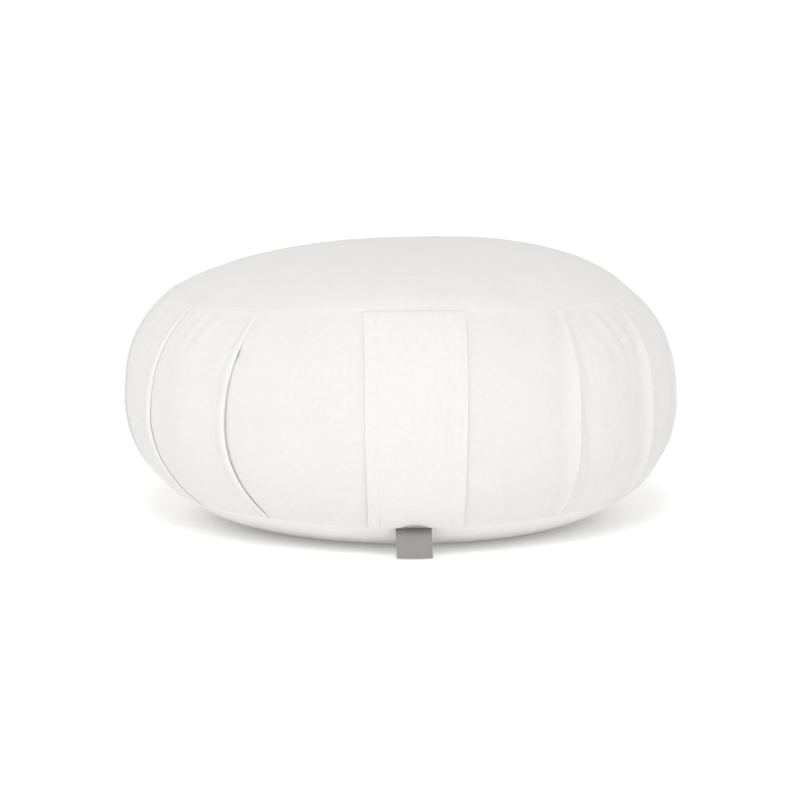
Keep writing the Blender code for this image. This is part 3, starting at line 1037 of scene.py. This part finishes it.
def makeStrap():
    across = cosineSpaced(strap["columns"], strap["acrossEvenness"]) - 0.5
    share = cosineSpaced(strap["rows"], strap["evenness"])
    points, stations = onStrap(across, share)
    arc = arcLengths(stations)
    toEnd = toNearerEnd(arc)
    cloth = np.stack(np.meshgrid(across * strap["widths"][1], arc), axis=-1)
    # Painted shade at both ends, where the strap goes into the seams
    paintedShading = bell(toEnd / strap["endShade"])[:, None]
    piece = addPiece(gridMesh("carry_strap_cloth", settled(points), cloth, paintedShading), strapCloth)
    full = piece.vertex_groups.new(name="full thickness")
    for row, weight in enumerate(np.clip(toEnd / strap["endThins"], 0, 1)):
        weighRow(full, row, len(across), float(weight))
    sheet = addCloth(piece, strap["thickness"], 1)
    sheet.vertex_group = full.name
    sheet.thickness_vertex_group = strap["endThickness"]
    roundEdges(piece, *strap["rounding"])
    return piece


stitch = {
    "pitch": 0.0033,
    "length": 0.0024,
    "thread": 0.00042,
    "sunk": 0.00006,
    "dip": 0.8,  # of a thread's thickness
    "thinnest": 0.04,
    "sides": 8,
    "rings": 6,
    "aside": 0.01,  # share of the strap's width to where its slope is read
}


# The points and faces of a row of short threads that dip into the cloth at both ends
def stitchRow(places, directions, normals):
    rings, sides = stitch["rings"], stitch["sides"]
    points, faces = [], []
    for place, ahead, out in zip(places, directions, normals):
        beside = ahead.cross(out)
        start = len(points)
        for ring in range(rings + 1):
            part = ring / rings * 2 - 1
            sunk = stitch["thread"] * stitch["dip"] * part**4
            middle = place + ahead * (part * stitch["length"] / 2) - out * sunk
            thick = stitch["thread"] / 2 * math.sqrt(max(stitch["thinnest"], 1 - part**4))
            for side in range(sides):
                turn = math.tau * side / sides
                points.append(middle + thick * (math.cos(turn) * beside + math.sin(turn) * out))
        last = start + rings * sides
        for here in range(start, last, sides):
            beyond = here + sides
            for side in range(sides):
                following = (side + 1) % sides
                faces.append((here + side, here + following, beyond + following, beyond + side))
        faces.append(tuple(range(start, start + sides))[::-1])
        faces.append(tuple(range(last, last + sides)))
    return points, faces


def makeStrapStitches():
    count = round(strap["flat"][1] / stitch["pitch"])
    share = np.linspace(*strap["stitched"], count)
    points, faces = [], []
    fromMiddle = 0.5 - (strap["hem"] - strap["stitchAt"]) / strap["widths"][1]
    for side in (-1, 1):
        across = np.array([fromMiddle * side])
        above = strap["thickness"] - stitch["sunk"]
        line = settled(onStrap(across, share, above)[0])[:, 0]
        beyond = settled(onStrap(across + stitch["aside"], share, above)[0])[:, 0]
        places = [Vector(spot) for spot in line]
        ahead = [Vector(way).normalized() for way in np.gradient(line, axis=0)]
        beside = [Vector(way).normalized() for way in beyond - line]
        out = [way.cross(down).normalized() for way, down in zip(beside, ahead)]
        out = [way if way.y < 0 else -way for way in out]
        made, cells = stitchRow(places, ahead, out)
        faces += [tuple(len(points) + corner for corner in cell) for cell in cells]
        points += made
    mesh = bpy.data.meshes.new("strap_stitches")
    mesh.from_pydata([tuple(point) for point in points], [], faces)
    spots = np.array([(point.x, point.z) for point in points])
    corners = [corner for face in faces for corner in face]
    mesh.uv_layers.new(name="cloth").data.foreach_set("uv", spots[corners].ravel().astype(np.float32))
    mesh.attributes.new("paintedShading", "FLOAT", "POINT")
    return addPiece(mesh, threadCloth)


strapPiece = makeStrap()
stitchPiece = makeStrapStitches()
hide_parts("carry_strap")
print("strap and its stitches made")


# Tag: a loop of tape, folded at its lower end

tag = {
    "width": 0.0220,
    "top": 0.0202,  # height of its upper end
    "bottom": 0.0004,
    "offCentre": -0.0023,
    "forward": 0.0018,  # how far its fold hangs in front of its upper end
    "lean": -0.0007,
    "curl": 0.0005,
    "layer": 0.00055,
    "between": 0.00018,
    "columns": 26,
    "rows": 30,
    "bendRows": 9,
    "curlWaves": 0.8,
    "rounding": (0.00015, 2),
    "standsOff": 0.0011,
    "shade": 0.17,  # share of its length that lies in the shade of the seam
    "flat": (0.0220, 0.040),
}


def makeTag():
    radius = baseSeamRadius + tag["standsOff"]
    turnRadius = (tag["layer"] + tag["between"]) / 2
    straight = tag["top"] - tag["bottom"] - turnRadius - tag["layer"] / 2
    down = [(0.0, part) for part in np.linspace(0, 1, tag["rows"])]
    bend = [(turn, 1.0) for turn in np.linspace(0, math.pi, tag["bendRows"] + 2)[1:-1]]
    up = [(math.pi, part) for part in np.linspace(1, 0, tag["rows"])]
    across = np.linspace(-0.5, 0.5, tag["columns"] + 1)
    points = []
    for turn, part in down + bend + up:
        x = tag["offCentre"] + tag["lean"] * part + across * tag["width"]
        forward = tag["forward"] * part**2 + tag["curl"] * part * np.cos(math.tau * across * tag["curlWaves"])
        forward -= dent(x / baseSeamRadius, 0.0, tagDent["below"]) * (1 - part) ** 2
        y = -(radius + turnRadius) - forward - turnRadius * math.cos(turn)
        z = tag["top"] - straight * part - turnRadius * math.sin(turn) + 0 * across
        points.append(np.stack([x, y, z], axis=-1))
    points = np.array(points)
    cloth = np.stack(np.meshgrid(across * tag["width"], arcLengths(points[:, 0])), axis=-1)
    height = (tag["top"] - points[..., 2]) / (tag["top"] - tag["bottom"])
    # Painted shade over its upper end, under the seam
    paintedShading = bell(height / tag["shade"])
    piece = addPiece(gridMesh("side_tag_tape", settled(points), cloth, paintedShading), tapeCloth)
    addCloth(piece, tag["layer"], 0)
    roundEdges(piece, *tag["rounding"])
    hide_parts("side_tag")


makeTag()
print("tag made")


# Floor, light and camera

room = {
    "floorSize": 8.0,
    "floorColour": (0.95, 0.95, 0.95),
    "floorRoughness": 0.95,
    # the floor glows with painted light, weakest under the object, which paints its contact shadow
    "paintedFloorGlow": (0.10, 0.195, 0.26),  # under the object, beside it and far from it
    "glowBeside": (0.10, 0.15),  # metres from the axis between which it changes
    "glowFar": (0.35, 1.40),
    "floorDrop": 0.0003,
    "skyAbove": 0.815,  # strength of the sky overhead, lower down and close to the horizon
    "skyLow": 0.83,
    "horizon": 1.03,
    "skyRises": (0.12, 0.45),  # heights from 0 at the horizon to 1 overhead
    "horizonEnds": (0.07, 0.14),
    "rightFrom": (0.4, 1.0),  # from straight ahead at 0 to the right at 1, where the sky is dimmer
    "rightDimmer": 0.26,
    "keyPower": 68.0,
    "keySize": 1.8,
    "keyPlace": (-0.28, -3.30, 3.65),
    "aim": (0.0, 0.0, 0.08),
}


def makeFloor():
    bpy.ops.mesh.primitive_plane_add(size=room["floorSize"], location=(0, 0, -room["floorDrop"]))
    floor = bpy.context.object
    floor.name = "studio_floor"
    material = bpy.data.materials.new("floor paper with painted glow")
    material.use_nodes = True
    tree = material.node_tree
    shader = tree.nodes["Principled BSDF"]
    feed(shader.inputs["Base Color"], (*room["floorColour"], 1))
    feed(shader.inputs["Roughness"], room["floorRoughness"])
    feed(shader.inputs["Specular IOR Level"], 0.0)
    feed(shader.inputs["Emission Color"], (1, 1, 1, 1))
    # Painted glow that rises with the distance from the axis, so the floor is darker under and beside the
    # cushion as a painted contact shadow
    away = node(tree, "VectorMath", node(tree, "TexCoord").outputs["Object"], operation="LENGTH")
    under, beside, far = room["paintedFloorGlow"]
    paintedGlow = under
    for limits, change in ((room["glowBeside"], beside - under), (room["glowFar"], far - beside)):
        paintedGlow = calculate(tree, "MULTIPLY_ADD", eased(tree, away.outputs["Value"], *limits), change, paintedGlow)
    feed(shader.inputs["Emission Strength"], paintedGlow)
    floor.data.materials.append(material)


# A lamp or a camera that looks at a place
def addAimed(name, data, place, aim):
    made = addObject(name, data)
    made.location = place
    made.rotation_euler = (Vector(aim) - Vector(place)).to_track_quat("-Z", "Y").to_euler()
    return made


def makeLight():
    world = bpy.data.worlds.new("studio")
    bpy.context.scene.world = world
    world.use_nodes = True
    tree = world.node_tree
    split = node(tree, "SeparateXYZ", node(tree, "TexCoord").outputs["Generated"])
    rising = eased(tree, split.outputs[2], *room["skyRises"])
    sky = calculate(tree, "MULTIPLY_ADD", rising, room["skyAbove"] - room["skyLow"], room["skyLow"])
    aboveHorizon = eased(tree, split.outputs[2], *room["horizonEnds"])
    lowest = calculate(tree, "SUBTRACT", 1.0, aboveHorizon)
    sky = calculate(tree, "MULTIPLY_ADD", lowest, room["horizon"] - room["skyLow"], sky)
    right = calculate(tree, "MULTIPLY", eased(tree, split.outputs[0], *room["rightFrom"]), aboveHorizon)
    strength = calculate(tree, "MULTIPLY_ADD", right, -room["rightDimmer"], sky)
    feed(tree.nodes["Background"].inputs["Color"], (1, 1, 1, 1))
    feed(tree.nodes["Background"].inputs["Strength"], strength)
    lamp = bpy.data.lights.new("soft box", "AREA")
    assign(lamp, shape="DISK", size=room["keySize"], energy=room["keyPower"])
    addAimed("soft box", lamp, room["keyPlace"], room["aim"])
    bpy.context.scene.view_settings.view_transform = "Standard"


view = {
    "azimuth": -3.04,
    "elevation": 7.85,
    "distance": 1.967,
    "centreHeight": 0.090,
    "aimHeight": 0.0754,
    "lens": 135,
    "sensor": 36,
}


def makeCamera():
    turn, tilt = math.radians(view["azimuth"]), math.radians(view["elevation"])
    back = Vector((math.sin(turn) * math.cos(tilt), -math.cos(turn) * math.cos(tilt), math.sin(tilt)))
    lens = bpy.data.cameras.new("camera")
    lens.lens = view["lens"]
    lens.sensor_width = view["sensor"]
    place = Vector((0, 0, view["centreHeight"])) + back * view["distance"]
    bpy.context.scene.camera = addAimed("camera", lens, place, (0, 0, view["aimHeight"]))


makeFloor()
makeLight()
makeCamera()
print("floor, light and camera set")
